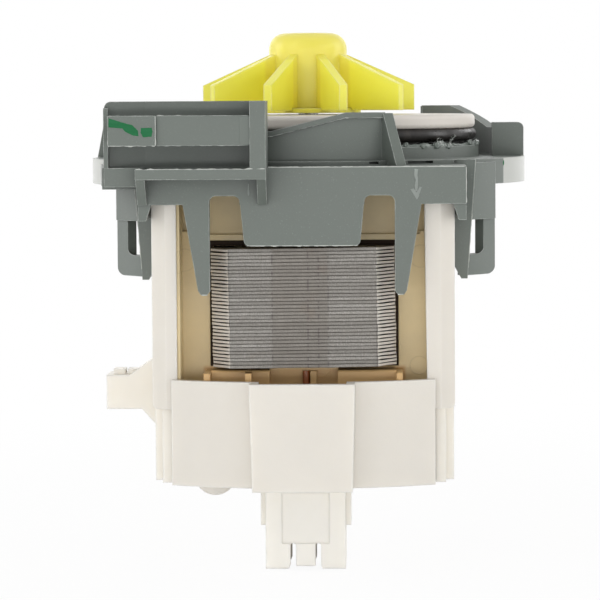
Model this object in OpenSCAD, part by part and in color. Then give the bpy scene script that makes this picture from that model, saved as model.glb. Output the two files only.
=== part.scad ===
// Drain pump with a synchronous motor, shaft upright, impeller on top.
// Millimetres. The origin is on the shaft axis at the flange's top face, +Z towards the impeller,
// -Y towards the face of the lamination stack.

/* [Flange] */
// Radius of the round flange
flange_r = 43.1; // [42.6:0.1:43.6]
// Thickness of the flange's top plate
flange_t = 2.2; // [2:0.1:2.4]
// Height of the flange's rim
rim_h = 4.9; // [4.5:0.1:5.3]
// Wall of the flange's rim
rim_t = 2; // [1.7:0.1:2.3]
// Height of the twist-lock ramp walls
ramp_h = 9; // [8.6:0.1:9.4]
// Height of the two ramp walls at the back
ramp_back_h = 10; // [9.6:0.1:10.4]
// Height where a ramp starts
ramp_low_h = 5.6; // [5.2:0.1:6]
// Number of twist-lock ramps
ramp_count = 3; // [3]

/* [Spigot] */
// Radius of the front disc
disc_r = 33.2; // [32.8:0.1:33.4]
// Thickness of the front disc
disc_t = 2.7; // [2.5:0.1:2.9]
// Height of the front disc's top face over the flange
disc_top = 8.4; // [8.2:0.1:8.6]
// Height of the flange seal
seal_h = 3.1; // [3:0.1:3.2]

/* [Skirt] */
// Width of the front skirt
skirt_w = 60.6; // [60.2:0.2:61.4]
// Distance of the skirt's front face from the shaft axis
skirt_y = 48; // [47.9:0.1:48.3]
// Wall of the skirt
skirt_t = 1.8; // [1.6:0.1:1.8]
// Depth of the skirt below the flange's top face
skirt_h = 7.8; // [7.4:0.1:8.2]
// Depth of the two long fingers
finger_h = 24.5; // [23.5:0.1:25.5]
// Depth of the middle tab
tab_h = 15.5; // [15:0.1:15.8]

/* [Arms] */
// Depth of the slotted side arms
arm_h = 22.1; // [21.5:0.1:23]
// Length of the slot in a side arm
arm_slot = 6.6; // [6:0.1:7]

/* [Latch] */
// Length of the latch bar from its root
latch_len = 25.2; // [24.6:0.1:25.6]
// Height of the latch bar
latch_h = 5.5; // [5.1:0.1:5.9]
// Thickness of the latch bar
latch_t = 1.8; // [1.6:0.1:2]
// Height of the latch box over the flange
latch_box_h = 11.3; // [10.8:0.1:11.5]

/* [Stator] */
// Number of laminations
lam_count = 34; // [33:1:34]
// Pitch of the laminations
lam_pitch = 0.65; // [0.64:0.005:0.65]
// Gap line between two laminations
lam_gap = 0.1; // [0.08:0.01:0.14]
// Width of the lamination stack
core_w = 34.3; // [33.9:0.1:34.5]
// Width of one leg of the core
leg_w = 10.55; // [10.3:0.05:10.6]
// Thickness of one winding round its spool
coil_t = 4.6; // [4.2:0.1:4.6]

/* [Casing] */
// Width of the stator casing
case_w = 56.4; // [56.2:0.1:56.6]
// Width of the casing's lower part
case_low_w = 56.2; // [56:0.1:56.4]
// Inner width between the front columns
case_gap = 47; // [46.8:0.1:47.2]
// Wall of the stator casing
case_t = 1.8; // [1.6:0.1:2]

/* [Lower cover] */
// Width of the lower cover
cover_w = 49; // [48.6:0.1:49.4]
// Height of the lower cover
cover_h = 19.6; // [19.2:0.1:19.6]
// Wall of the lower cover
cover_t = 1.6; // [1.4:0.1:1.6]

/* [Connector] */
// Width of the connector housing
plug_w = 15.2; // [15:0.1:15.6]
// Depth of the connector housing, front to back
plug_d = 12; // [11.8:0.1:12.2]
// Height of the connector housing
plug_h = 17.4; // [17:0.1:17.8]
// Spacing of the two terminals
terminal_pitch = 5; // [4.9:0.05:5.1]

/* [Impeller] */
// Number of blades
blade_count = 9; // [8:1:9]
// Outer radius of the blades
blade_r = 21.4; // [21:0.1:21.8]
// Thickness of a blade
blade_t = 1.65; // [1.5:0.05:1.8]
// Radius of the impeller hub
hub_r = 7.75; // [7.6:0.05:7.9]
// Angle that the drive dog and the hub's stop each take up
dog_angle = 58; // [56:1:58]

/* [Rotor] */
// Radius of the shaft
shaft_r = 2; // [1.9:0.05:2.1]
// Radius of the rotor magnet
magnet_r = 10; // [9.8:0.05:10]
// Length of the rotor magnet
magnet_l = 24; // [23:0.1:24]
// Radial running clearance of the shaft in its bearings
run_gap = 0.03; // [0.02:0.01:0.05]

/* [Hidden] */
$fn = 72;
GREY = [0.43, 0.46, 0.45];
CREAM = [0.92, 0.9, 0.86];
YELLOW = [0.9, 0.85, 0.2];
TAN = [0.73, 0.63, 0.45];
STEEL = [0.6, 0.59, 0.58];
COPPER = [0.62, 0.3, 0.16];
BLACK = [0.12, 0.11, 0.1];
BRASS = [0.75, 0.65, 0.35];
BROWN = [0.4, 0.2, 0.1];

// Heights on the shaft axis
disc_low = disc_top - disc_t;
seal_low = disc_low - seal_h;
disc_round = 0.8;
disc_groove = [26.4, 27.4];
disc_groove_depth = 0.3;
boss_low = -10.5;
boss_r = 10.55;
tube_r_in = 10.6;
tube_r = 11.5;
tube_low = -48.5;
tube_floor = -47;
pocket_top = -42;
pocket_r = 6.5;
pocket_wall = 1.5;
bearing_r = 4.5;
front_bearing = [-9.5, -3.5];
rear_bearing = [-46.9, -41.4];
washer_t = 0.8;
washer_gap = 0.2;
washer_r = 4;
sleeve_top = front_bearing[0] - washer_gap - washer_t;
sleeve_low = rear_bearing[1] + washer_gap + washer_t;
sleeve_r = 4.2;
sleeve_end = 1.3;
sleeve_end_r = magnet_r - 0.8;
shaft_low = -46;
shaft_top = 21.5;
seal_bore_r = 4.6;

// Flange, deck and spigot
neck_inset = 4.2;
neck_r = disc_r - neck_inset;
neck_t = 2;
seal_inset = 0.9;
seat_reach = 0.8;
seat_r = disc_r + seat_reach;
seat_gap = 0.3;
seat_h = seal_low - seat_gap;
seat_rib_count = 24;
seat_rib_t = 1;
deck_top = -0.9;
deck_low = -2.7;
skirt_top = deck_top;
skirt_back = skirt_y - skirt_t;
side_wall_t = 1.6;
side_wall_low = -10.6;
deck_back = -24;
rim_gap = 59;
riser_slots = [[-73.3, -70.8], [-63, -55.5], [-48.8, -44.5]];
riser_slot_z = [-0.65, -0.15];
riser_slot_depth = 1.6;

// Ramp walls
ramp_inset = 2.6;
ramp_r = flange_r - ramp_inset;
ramp_t = 1.8;
bead_h = 1;
bead_t = 0.5;
ramp_start_x = -19.9;
ramp_foot_x = -6;
ramp_crest_x = 8;
ramp_end_x = 15.4;
stop_gap = 3.4;
stop_r = disc_r + stop_gap;
stop_round = 1.2;
stop_h = 6.7;
stop_t = 2.2;
stop_angle = -120;
gusset_t = 2;
gusset_drop = 0.15;
gusset_angle = -67.2;

// Skirt details
finger_in = 17.1;
finger_out = 22.2;
finger_tip = 19;
window_top = -6.2;
window_round = 1.2;
tab_top_w = 23;
tab_low_w = 21.6;
tab_round = 1.2;
toe_low = -10.8;
toe_inset = 0.4;

// Arms
arm_angle_front = -45;
arm_angle_back = -32.4;
arm_round = 1.5;
arm_slot_angle = 7.3;
arm_slot_x = flange_r * cos(arm_angle_front + arm_slot_angle);
arm_slot_round = 1.4;
arm_block_r = flange_r + 0.6;
arm_block_low = -11.5;
leg_plate_x = 28.5;
leg_plate_w = 4;
leg_plate_y = -30.9;
leg_plate_t = 1.8;
leg_plate_low = -22.6;
join = [skirt_w / 2, leg_plate_y];

// Latch box
post = [-9.3, -6.4];
latch_front = -54;
wall_t = 1.7;
wall_step_x = -29;
wall_left_y = -47.6;
wall_right_y = -45.4;
wall_end_x = -36.4;
wall_round = 1.2;
cheek_front = -49.6;
cheek_t = 0.85;
cheek_low = -4.4;
apron = [[-28, -9], [-28, -47.6], [-36.9, -47.6], [-38.6, -30], [-41, -9]];
apron_inner = [[-20, -8], [-20, -45.8], [-35.2, -45.8], [-36.8, -30], [-39.4, -8]];
apron_low = -rim_h;
shelf_x = -30.3;
shelf_top = -1.1;
shelf_low = -3;
rib_t = 1.7;
latch_mid_y = -52.7;
latch_low = 3.2;
knuckle_x = post[0] - 0.7;
knuckle_gap = 0.05;
pad_len = 8.7;
pad_t = 0.6;

// Stator
core_front = -46;
core_back = 15.5;
core_top = -15.95;
core_h = lam_count * lam_pitch;
core_low = core_top - core_h;
core_mid = (core_top + core_low) / 2;
core_chamfer = [3.4, 4.5];
core_groove = 0.35;
yoke_back = -35.5;
leg_in = core_w / 2 - leg_w;
bore_r = 11.9;
pole_gap = 5;
frame_front = -37;
frame_top = -13.2;
frame_notch = 0.6;
frame_notch_half = 21.8;
frame_low = -46;
frame_gap = 0.6;
frame_top_gap = 1.05;
former_wall_t = 0.6;
former_wall_front = -44.4;
spool_t = 0.95;
spool_back = -12.6;
flange_plate_t = 1.25;
flange_edge = 5.6;
former_half = case_gap / 2;
former_top = deck_low - 0.4;
floor_gap = 0.55;
floor_top = core_low - floor_gap;
floor_t = 3.5;
floor_front = -40.3;
floor_w = 12.8;
rib_front = -46.9;
rib_x = [-17.9, -10.2, 17.9];
rib_w = 1.2;
rib_drop = 0.6;
clip_x = 1.8;
clip_front = -41.6;
coil_gap_y = flange_plate_t;
coil_round = 4;
lead_r = 0.35;
lead_x = 8;
fuse_r = 0.65;
fuse_h = 6;
fuse_x = 0.4;

// Casing
case_top = deck_low;
case_low = -60;
case_back = 18.5;
case_round = 8;
case_floor_t = 1.6;
case_panel = [15, -37.5, -13];
case_panel_depth = 0.4;
case_rib_x = 18;
case_rib_t = 1.6;
case_rib_h = 0.8;
case_rib_z = [-43, -6.5];
pocket_y = [-14, 2];
pocket_z = [-30, -12];
catch_y = [-9, -3];
catch_z = [-25, -21];
column_front = -45;
column_back = -34;
column_low = -46;
column_fold = 25.6;
column_shoulder = -43.8;
column_round = 1;
column_lip = [1, 0.4];
step_w = 53;
step_front = -43;
step_back = -39;
lug_tip = -38.7;
lug_neck = -34.2;
lug_neck_low = -31.9;
lug_top = -41.5;
lug_low = -48.1;
lug_root_top = -37.2;
lug_root_low = -52.2;
lug_y = [-24, -16];
nub_h = 1;

// Lower cover
cover_top = case_low + cover_h;
cover_low = cover_top - cover_h;
cover_r = 53.5;
cover_centre_y = 1;
cover_back = -36;
box_front = -56;
box_top_w = 19.4;
box_low_w = 18.4;
box_low = cover_low - 0.2;
dome_x = -16.6;
dome_y = -43.5;
dome_r = 3.9;
dome_z = cover_low + 1.65;

// Connector
plug_top = case_low;
plug_low = plug_top - plug_h;
plug_front = -36;
plug_wall = 1.2;
plug_roof = 4.4;
wing_w = 17.2;
wing_low = -69.4;
slot_x = [1.85, 2.9];
slot_top = -72.6;
slot_flare = 0.7;
panel_w = 9;
panel_depth = 0.25;
blade_w = 2.8;
blade_thick = 0.8;
terminal_y = plug_front + plug_d / 2;
terminal_low = -71.5;
terminal_top = -55.5;

// Impeller and clutch
cover_gap = 0.35;
clutch_low = disc_top + cover_gap;
clutch_t = 0.95;
clutch_top = clutch_low + clutch_t;
clutch_r = 10.5;
plug_in_h = 0.9;
hub_top = 24.6;
hub_round = 3.2;
hub_in_r = hub_r - 1.4;
cavity_top = 18.8;
blade_low = 9.25;
blade_end_top = 14.3;
blade_root_top = 20.3;
blade_phase = 20;
dog_r = 3.6;
dog_gap = 0.35;
dog_low = clutch_top + plug_in_h + 0.3;
dog_top = cavity_top - 0.3;

// A box between two corners
module block(low, high) {
    translate(low)
        cube(high - low);
}

// A round tube on the shaft axis
module tube(r_out, r_in, z_low, z_high) {
    translate([0, 0, z_low])
        difference() {
            cylinder(r = r_out, h = z_high - z_low);
            translate([0, 0, -1])
                cylinder(r = r_in, h = z_high - z_low + 2);
        }
}

// A plate drawn from above
module plan_plate(z_low, z_high) {
    translate([0, 0, z_low])
        linear_extrude(z_high - z_low)
            children();
}

// A plate drawn from the front, X right and Z up
module front_plate(y_front, y_back) {
    translate([0, y_back, 0])
        rotate([90, 0, 0])
            linear_extrude(y_back - y_front)
                children();
}

// A plate drawn from the right, Y right and Z up
module side_plate(x_low, x_high) {
    translate([x_low, 0, 0])
        rotate([90, 0, 90])
            linear_extrude(x_high - x_low)
                children();
}

// The shape and its mirror image on the other side of the middle plane
module both_sides() {
    children();
    mirror([1, 0, 0])
        children();
}

// A flat wedge between two angles
module wedge(a_low, a_high, reach = 90) {
    a_mid = (a_low + a_high) / 2;
    polygon([[0, 0], for (a = [a_low, a_mid, a_high]) reach * [cos(a), sin(a)]]);
}

// A piece of a round wall between two angles
module arc_wall(r_out, r_in, a_low, a_high, z_low, z_high) {
    intersection() {
        tube(r_out, r_in, z_low, z_high);
        plan_plate(z_low - 1, z_high + 1)
            wedge(a_low, a_high);
    }
}

// A rectangle with four round corners
module round_rect(low, high, r) {
    translate([low[0] + r, low[1]])
        square([high[0] - low[0] - 2 * r, high[1] - low[1]]);
    translate([low[0], low[1] + r])
        square([high[0] - low[0], high[1] - low[1] - 2 * r]);
    for (x = [low[0] + r, high[0] - r], y = [low[1] + r, high[1] - r])
        translate([x, y])
            circle(r);
}

// A rectangle about the middle plane whose back corners are round
module round_back(half_w, y_front, y_back, r) {
    translate([-half_w, y_front])
        square([2 * half_w, y_back - r - y_front]);
    translate([r - half_w, y_front])
        square([2 * (half_w - r), y_back - y_front]);
    for (side = [-1, 1])
        translate([side * (half_w - r), y_back - r])
            circle(r);
}

// The face of a ramp wall from the front, between its top edge and a depth below it
module ramp_face(crest_h, depth) {
    polygon([[ramp_start_x, ramp_low_h - depth], [ramp_start_x, ramp_low_h], [ramp_foot_x, ramp_low_h],
        [ramp_crest_x, crest_h], [ramp_end_x, crest_h], [ramp_end_x, crest_h - depth],
        [ramp_crest_x, crest_h - depth], [ramp_foot_x, ramp_low_h - depth]]);
}

// One ramp wall with its bead, its gusset and its stop, drawn at the front
module ramp(crest_h, gusset_end) {
    intersection() {
        tube(ramp_r, ramp_r - ramp_t, -0.5, crest_h + 1);
        front_plate(-flange_r, -flange_r / 2)
            ramp_face(crest_h, crest_h + 1);
    }
    intersection() {
        tube(ramp_r + bead_t, ramp_r - ramp_t, -1, crest_h + 1);
        front_plate(-flange_r, -flange_r / 2)
            ramp_face(crest_h, bead_h);
    }
    rotate([0, 0, gusset_angle])
        front_plate(-gusset_t / 2, gusset_t / 2)
            polygon([[ramp_r - ramp_t + 0.3, -1], [ramp_r - ramp_t + 0.3, crest_h - gusset_drop],
                [ramp_r + bead_t, crest_h - gusset_drop], [gusset_end, deck_top], [gusset_end, -2]]);
    rotate([0, 0, stop_angle])
        front_plate(-stop_t / 2, stop_t / 2)
            intersection() {
                round_rect([stop_r - 3, -4], [flange_r - 0.2, stop_h], stop_round);
                translate([stop_r, -1])
                    square([flange_r - stop_r, stop_h + 1]);
            }
}

// The flange with its rim, the spigot's neck and the seat of the seal
module flange() {
    tube(flange_r, tube_r_in, -flange_t, 0);
    difference() {
        tube(flange_r, flange_r - rim_t, -rim_h, 0);
        block([-rim_gap / 2, -flange_r - 1, -rim_h - 1], [rim_gap / 2, deck_back, deck_low]);
    }
    tube(neck_r, neck_r - neck_t, -1, disc_low);
    tube(seat_r, neck_r - 1, -1, seat_h);
    for (i = [1:seat_rib_count])
        rotate([0, 0, i * 360 / seat_rib_count])
            block([neck_r - 1, -seat_rib_t / 2, 0], [seat_r - 1.2, seat_rib_t / 2, seal_low]);
}

// The closed tube that the rotor turns in
module rotor_tube() {
    tube(tube_r, tube_r_in, tube_low, 3);
    translate([0, 0, tube_low])
        cylinder(r = tube_r, h = tube_floor - tube_low);
    tube(pocket_r + pocket_wall, pocket_r, tube_floor - 0.5, pocket_top);
}

// The front deck, seen from above
module deck_outline() {
    half = skirt_w / 2;
    polygon([[-half, -skirt_y], [half, -skirt_y], join, [join[0] - 4, deck_back],
        [-join[0] + 4, deck_back], [-join[0], join[1]]]);
}

// The front wall of the plate with its windows, fingers and tab
module skirt() {
    half = skirt_w / 2;
    low = -skirt_h;
    front_plate(-skirt_y, -skirt_back) {
        difference() {
            translate([-half, low])
                square([skirt_w, skirt_top - low]);
            for (side = [-1, 1])
                translate([side * (finger_in + tab_top_w / 2) / 2, 0])
                    round_rect([-(finger_in - tab_top_w / 2) / 2, low - 4],
                        [(finger_in - tab_top_w / 2) / 2, window_top], window_round);
        }
        both_sides() {
            polygon([[finger_in, low + 1], [finger_out, low + 1], [finger_tip + 0.3, -finger_h + 0.8],
                [finger_tip - 0.2, -finger_h], [finger_in + 0.5, -finger_h], [finger_in, -finger_h + 0.7]]);
        }
        polygon([[-tab_top_w / 2, low + 1], [tab_top_w / 2, low + 1],
            [tab_low_w / 2, -tab_h + tab_round], [-tab_low_w / 2, -tab_h + tab_round]]);
        translate([tab_round - tab_low_w / 2, -tab_h])
            square([tab_low_w - 2 * tab_round, tab_round + 1]);
        for (side = [-1, 1])
            translate([side * (tab_low_w / 2 - tab_round), -tab_h + tab_round])
                circle(tab_round);
    }
    both_sides()
        front_plate(toe_inset - skirt_y, -skirt_back)
            polygon([[half - 2.6, low + 0.5], [half, low + 0.5], [half, toe_low], [half - 1.4, toe_low]]);
}

// The wall from the skirt's end back to the flange
module side_wall() {
    half = skirt_w / 2;
    plan_plate(side_wall_low, deck_top)
        polygon([[half - side_wall_t, toe_inset - skirt_y], [half, toe_inset - skirt_y], join,
            [join[0] - side_wall_t, join[1]]]);
}

// A slotted arm that hangs from the flange
module arm() {
    slot_low = arm_block_low - arm_slot;
    difference() {
        intersection() {
            arc_wall(flange_r, flange_r - rim_t, arm_angle_front, arm_angle_back, -arm_h, -1);
            front_plate(-flange_r, 0)
                round_rect([flange_r / 2, -arm_h], [flange_r * cos(arm_angle_back), arm_round], arm_round);
        }
        intersection() {
            arc_wall(flange_r + 2, flange_r - rim_t - 2, arm_angle_front + 1.6,
                arm_angle_front + arm_slot_angle, slot_low - 1, arm_block_low);
            front_plate(-flange_r - 1, 0)
                round_rect([flange_r / 2, slot_low], [arm_slot_x, arm_block_low + 5], arm_slot_round);
        }
    }
    arc_wall(arm_block_r, flange_r - rim_t, arm_angle_front + 1.5, arm_angle_back - 1, arm_block_low, -0.6);
    front_plate(leg_plate_y - leg_plate_t / 2, leg_plate_y + leg_plate_t / 2)
        polygon([[leg_plate_x, 0], [leg_plate_x, leg_plate_low + 2.2],
            [leg_plate_x + 1.2, leg_plate_low], [leg_plate_x + 2.4, leg_plate_low],
            [leg_plate_x + leg_plate_w, 0]]);
}

// The deck that carries the latch box, left of the flange
module latch_deck() {
    plan_plate(deck_low, deck_top)
        polygon(apron);
    plan_plate(apron_low, deck_top)
        difference() {
            polygon(apron);
            polygon(apron_inner);
        }
}

// The box round the latch bar: back wall, left cheek, post, shelf and ribs
module latch_box() {
    foot = deck_top - 0.5;
    intersection() {
        plan_plate(foot, latch_box_h + 1)
            polygon([[wall_end_x, wall_left_y], [wall_step_x, wall_right_y], [post[1], wall_right_y],
                [post[1], wall_right_y + wall_t], [wall_step_x, wall_right_y + wall_t],
                [wall_end_x, wall_left_y + wall_t]]);
        front_plate(wall_left_y - 1, wall_right_y + wall_t + 1)
            round_rect([wall_end_x, foot - 3], [post[1] + 3, latch_box_h], wall_round);
    }
    block([wall_end_x, cheek_front, foot],
        [wall_end_x + cheek_t, wall_left_y + 0.5, latch_box_h - wall_round]);
    block([wall_end_x, cheek_front, cheek_low], [wall_step_x, wall_left_y + 0.5, deck_top]);
    difference() {
        block([post[0], latch_front, shelf_low], [post[1], wall_right_y + wall_t, latch_box_h]);
        translate([knuckle_x, latch_mid_y, latch_low - 0.3])
            cylinder(r = latch_t / 2 + knuckle_gap, h = latch_h + 0.6);
    }
    block([shelf_x, latch_front, shelf_low], [post[1], -skirt_back - 0.5, shelf_top]);
    for (x = [shelf_x, post[1] - rib_t])
        side_plate(x, x + rib_t)
            polygon([[latch_front, shelf_low + 0.5], [-skirt_back - 0.5, shelf_low + 0.5],
                [-skirt_back - 0.5, -skirt_h], [-skirt_y - 0.6, -skirt_h]]);
}

module mounting_plate() {
    color(GREY) {
        difference() {
            flange();
            for (a = riser_slots)
                arc_wall(flange_r + 1, flange_r - riser_slot_depth, a[0], a[1],
                    riser_slot_z[0], riser_slot_z[1]);
        }
        rotor_tube();
        plan_plate(deck_low, deck_top)
            difference() {
                deck_outline();
                circle(r = flange_r - 3);
            }
        skirt();
        both_sides() {
            side_wall();
            arm();
        }
        for (i = [0:ramp_count - 1])
            rotate([0, 0, i * 360 / ramp_count])
                ramp(i == 0 ? ramp_h : ramp_back_h, i == 0 ? skirt_y - 0.6 : flange_r);
        latch_deck();
        latch_box();
    }
}

module latch_bar() {
    tip = knuckle_x - latch_len;
    color(GREY)
        plan_plate(latch_low, latch_low + latch_h) {
            translate([tip, latch_mid_y - latch_t / 2])
                square([latch_len, latch_t]);
            translate([tip, latch_mid_y - latch_t / 2 - pad_t])
                square([pad_len, pad_t + 0.5]);
            translate([knuckle_x, latch_mid_y])
                circle(latch_t / 2);
        }
}

module front_disc() {
    edge = disc_r - disc_round;
    color(CREAM)
        difference() {
            union() {
                translate([0, 0, disc_low])
                    cylinder(r = edge, h = disc_t);
                translate([0, 0, disc_low + disc_round])
                    cylinder(r = disc_r, h = disc_t - 2 * disc_round);
                rotate_extrude()
                    for (z = [disc_low + disc_round, disc_top - disc_round])
                        translate([edge, z])
                            circle(disc_round);
                translate([0, 0, boss_low])
                    cylinder(r = boss_r, h = disc_low - boss_low + 1);
                tube(neck_r - neck_t, neck_r - neck_t - 1.5, disc_low - 1.5, disc_low + 1);
            }
            translate([0, 0, boss_low - 1])
                cylinder(r = pocket_r, h = front_bearing[1] - boss_low + 1);
            translate([0, 0, front_bearing[1] - 1])
                cylinder(r = seal_bore_r, h = disc_top - 2 - front_bearing[1] + 1);
            translate([0, 0, disc_top - 3])
                cylinder(r = shaft_r + 0.6, h = 4);
            tube(disc_groove[1], disc_groove[0], disc_top - disc_groove_depth, disc_top + 1);
        }
}

module flange_seal() {
    lip = 1.2;
    lip_r = disc_r - seal_inset;
    color(BLACK)
        rotate_extrude() {
            translate([neck_r, seal_low])
                square([lip_r - neck_r - 0.9, seal_h]);
            translate([neck_r, disc_low - 2 * lip - 0.1])
                square([lip_r - neck_r, 2 * lip + 0.1]);
            translate([lip_r, disc_low - lip])
                circle(lip);
        }
}

module shaft_seal() {
    low = front_bearing[1];
    lip_r = shaft_r + run_gap;
    color(BLACK)
        rotate_extrude()
            polygon([[seal_bore_r, low], [seal_bore_r, disc_top - 2.4], [seal_bore_r - 1, disc_top - 2.4],
                [lip_r, disc_top - 4.2], [lip_r, disc_top - 4.8], [seal_bore_r - 1.1, disc_top - 4],
                [seal_bore_r - 1.1, low + 1.5], [lip_r + 0.3, low + 1.5], [lip_r + 0.3, low]]);
}

// A sintered bush on the shaft
module bush(span) {
    tube(bearing_r, shaft_r + run_gap, span[0], span[1]);
}

module front_bearing() {
    color(BRASS)
        bush(front_bearing);
}

module front_bearing_mount() {
    color(BLACK)
        tube(pocket_r, bearing_r, front_bearing[0], front_bearing[1]);
}

module rear_bearing() {
    color(BRASS)
        bush(rear_bearing);
}

module rear_bearing_mount() {
    color(BLACK)
        tube(pocket_r, bearing_r, tube_floor, pocket_top);
}

// The outline of one lamination, drawn in by an inset
module lamination(inset) {
    half = core_w / 2 - inset;
    front = core_front + inset;
    back = core_back - inset;
    difference() {
        polygon([[-half, back], [-half, front + core_chamfer[1]], [-half + core_chamfer[0], front],
            [half - core_chamfer[0], front], [half, front + core_chamfer[1]], [half, back]]);
        circle(bore_r + inset);
        translate([-leg_in - inset, yoke_back - inset])
            square([2 * (leg_in + inset), -yoke_back + inset]);
        translate([-pole_gap / 2 - inset, 0])
            square([pole_gap + 2 * inset, core_back + 1]);
    }
}

module stator_core() {
    color(STEEL) {
        plan_plate(core_low + lam_gap, core_top - lam_gap)
            lamination(core_groove);
        for (i = [0:lam_count - 1])
            plan_plate(core_low + i * lam_pitch, core_low + (i + 1) * lam_pitch - lam_gap)
                lamination(0);
    }
}

// The hole that one leg of the core fills, seen from the front
module leg_hole() {
    translate([leg_in, core_low])
        square([leg_w, core_h - lam_gap]);
}

// One spool with its back flange
module spool() {
    front_plate(yoke_back + 0.5, spool_back)
        difference() {
            translate([leg_in - spool_t, core_low - spool_t])
                square([leg_w + 2 * spool_t, core_h + 2 * spool_t]);
            leg_hole();
        }
    front_plate(spool_back - flange_plate_t, spool_back)
        difference() {
            translate([0.6, core_low - spool_t - flange_edge])
                square([former_half - 0.8, core_h + 2 * (spool_t + flange_edge)]);
            leg_hole();
        }
}

module coil_former() {
    window_half = core_w / 2 + frame_gap;
    color(TAN) {
        front_plate(frame_front, yoke_back)
            difference() {
                translate([-former_half, frame_low])
                    square([2 * former_half, frame_top - frame_low]);
                translate([-window_half, core_low - frame_gap])
                    square([2 * window_half, core_h + frame_gap + frame_top_gap]);
                translate([-frame_notch_half, frame_top - frame_notch])
                    square([2 * frame_notch_half, frame_notch + 1]);
            }
        front_plate(yoke_back, yoke_back + flange_plate_t)
            difference() {
                translate([-former_half, core_low - spool_t - flange_edge])
                    square([2 * former_half, former_top - core_low + spool_t + flange_edge]);
                both_sides()
                    leg_hole();
            }
        both_sides()
            spool();
        block([-floor_w / 2, floor_front, floor_top - floor_t], [floor_w / 2, frame_front + 0.5, core_low]);
        for (x = rib_x)
            block([x - rib_w / 2, rib_front, floor_top - floor_t],
                [x + rib_w / 2, frame_front + 0.5, floor_top - rib_drop]);
        block([clip_x - rib_w / 2, clip_front, floor_top - floor_t],
            [clip_x + rib_w / 2, floor_front + 0.5, floor_top - rib_drop]);
        block([-former_half, former_wall_front, frame_low],
            [former_wall_t - former_half, frame_front + 0.5, former_top]);
    }
}

// One winding, wound on the right spool
module coil() {
    color(COPPER)
        front_plate(yoke_back + coil_gap_y, spool_back - flange_plate_t)
            difference() {
                round_rect([leg_in - spool_t - coil_t, core_low - spool_t - coil_t],
                    [core_w / 2 + spool_t + coil_t, core_top + spool_t + coil_t], coil_round);
                translate([leg_in - spool_t, core_low - spool_t])
                    square([leg_w + 2 * spool_t, core_h + 2 * spool_t]);
            }
}

module coil_left() {
    mirror([1, 0, 0])
        coil();
}

module coil_right() {
    coil();
}

// The enamelled wire from the right winding down to its terminal
module winding_lead() {
    color(COPPER)
        translate([lead_x, terminal_y, terminal_top])
            cylinder(r = lead_r, h = core_low - spool_t - coil_t - terminal_top);
}

module winding_lead_left() {
    mirror([1, 0, 0])
        winding_lead();
}

module winding_lead_right() {
    winding_lead();
}

module thermal_fuse() {
    color(BROWN)
        translate([fuse_x, floor_front - fuse_r, floor_top - fuse_h])
            cylinder(r = fuse_r, h = fuse_h - rib_drop);
}

// The casing's upper part, open at the front between two columns
module case_upper() {
    half = case_w / 2;
    intersection() {
        plan_plate(column_low, case_top)
            difference() {
                union() {
                    round_back(half, column_shoulder, case_back, case_round);
                    polygon([[-column_fold, column_front], [column_fold, column_front],
                        [half, column_shoulder], [half, 0], [-half, 0], [-half, column_shoulder]]);
                }
                translate([-case_gap / 2, column_front - 1])
                    square([case_gap, column_back - column_front + 2]);
                round_back(half - case_t, column_back, case_back - case_t, case_round - case_t);
            }
        union() {
            front_plate(column_front - 1, step_back)
                round_rect([-half, column_low], [half, case_top + column_round], column_round);
            block([-half - 1, step_back - 1, column_low - 1], [half + 1, case_back + 1, case_top + 1]);
        }
    }
}

// The casing's lower part with its floor
module case_lower() {
    half = case_low_w / 2;
    step_half = step_w / 2;
    slot = [blade_w + 0.4, blade_thick + 0.4];
    difference() {
        union() {
            plan_plate(case_low, column_low + 0.5)
                difference() {
                    union() {
                        round_back(half, step_back, case_back, case_round);
                        translate([-step_half, step_front])
                            square([step_w, step_back - step_front + 1]);
                    }
                    round_back(half - case_t, step_back + case_t, case_back - case_t, case_round - case_t);
                    translate([-cover_w / 2 - 0.1, step_front - 1])
                        square([cover_w + 0.2, step_back - step_front + 4]);
                }
            plan_plate(case_low, case_low + case_floor_t)
                round_back(half, cover_back, case_back, case_round);
        }
        for (side = [-1, 1])
            translate([side * terminal_pitch / 2 - slot[0] / 2, terminal_y - slot[1] / 2, case_low - 1])
                cube([slot[0], slot[1], case_floor_t + 2]);
    }
}

// The cable clip on the casing's left side
module cable_clip() {
    half = case_w / 2;
    front_plate(lug_y[0], lug_y[1])
        polygon([[-half + 0.5, lug_root_top], [-half, lug_root_top], [lug_neck, lug_top], [lug_tip, lug_top],
            [lug_tip, lug_low], [lug_neck_low, lug_low], [-half, lug_root_low], [-half + 0.5, lug_root_low]]);
    for (span = [[lug_tip + 1.2, lug_tip + 3.5], [lug_tip + 4, lug_tip + 5.9]])
        block([span[0], lug_y[0] + 2, lug_top - 0.5], [span[1], lug_y[1] - 2, lug_top + nub_h]);
}

module stator_casing() {
    half = case_w / 2;
    color(CREAM) {
        difference() {
            case_upper();
            block([-case_panel[0], case_back - case_panel_depth, case_panel[1]],
                [case_panel[0], case_back + 1, case_panel[2]]);
            both_sides()
                block([half - case_panel_depth, pocket_y[0], pocket_z[0]],
                    [half + 1, pocket_y[1], pocket_z[1]]);
        }
        both_sides() {
            block([case_rib_x, case_back - 1, case_rib_z[0]],
                [case_rib_x + case_rib_t, case_back + case_rib_h, case_rib_z[1]]);
            block([half - 1, catch_y[0], catch_z[0]], [half, catch_y[1], catch_z[1]]);
        }
        front_plate(column_front, frame_front - 0.4)
            polygon([[case_gap / 2 - column_lip[0], case_top], [case_gap / 2 + 1, case_top],
                [case_gap / 2 + 1, column_low], [case_gap / 2 - column_lip[1], column_low]]);
        case_lower();
        cable_clip();
    }
}

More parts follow.
